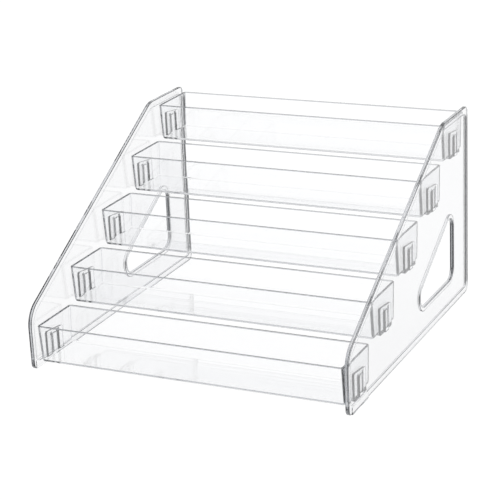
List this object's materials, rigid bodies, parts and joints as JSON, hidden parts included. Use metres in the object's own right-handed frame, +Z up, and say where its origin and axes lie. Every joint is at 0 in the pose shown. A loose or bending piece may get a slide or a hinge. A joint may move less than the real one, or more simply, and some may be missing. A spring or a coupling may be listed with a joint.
{
  "type": "nail polish rack",
  "caption": "Clear stepped rack for nail polish bottles: moulded side panels with triangular cut-outs carry rising open trays that lift off.",
  "frame": {"origin": "on the ground, under the middle of the rack's width and depth", "axes": "+Z up; +Y from the lowest tray at the front to the highest at the back; +X to the right"},
  "size_m": [0.2326, 0.2384, 0.1409],
  "materials": {
    "panel_plastic": "clear, polished",
    "tray_plastic": "clear, polished"
  },
  "bodies": {
    "side_panels": {"side_panel_left": "panel_plastic", "side_panel_right": "panel_plastic"},
    "tray_1_bottom": {"tray_1_bottom": "tray_plastic"},
    "tray_2": {"tray_2": "tray_plastic"},
    "tray_3": {"tray_3": "tray_plastic"},
    "tray_4": {"tray_4": "tray_plastic"},
    "tray_5_top": {"tray_5_top": "tray_plastic"}
  },
  "joints": [
    {"name": "tray_1_bottom_lift", "type": "slide", "parent": "side_panels", "child": "tray_1_bottom", "axis": [0, 0, 1], "range_m": [0, 0.07]},
    {"name": "tray_2_lift", "type": "slide", "parent": "side_panels", "child": "tray_2", "axis": [0, 0, 1], "range_m": [0, 0.07]},
    {"name": "tray_3_lift", "type": "slide", "parent": "side_panels", "child": "tray_3", "axis": [0, 0, 1], "range_m": [0, 0.07]},
    {"name": "tray_4_lift", "type": "slide", "parent": "side_panels", "child": "tray_4", "axis": [0, 0, 1], "range_m": [0, 0.07]},
    {"name": "tray_5_top_lift", "type": "slide", "parent": "side_panels", "child": "tray_5_top", "axis": [0, 0, 1], "range_m": [0, 0.07]}
  ]
}
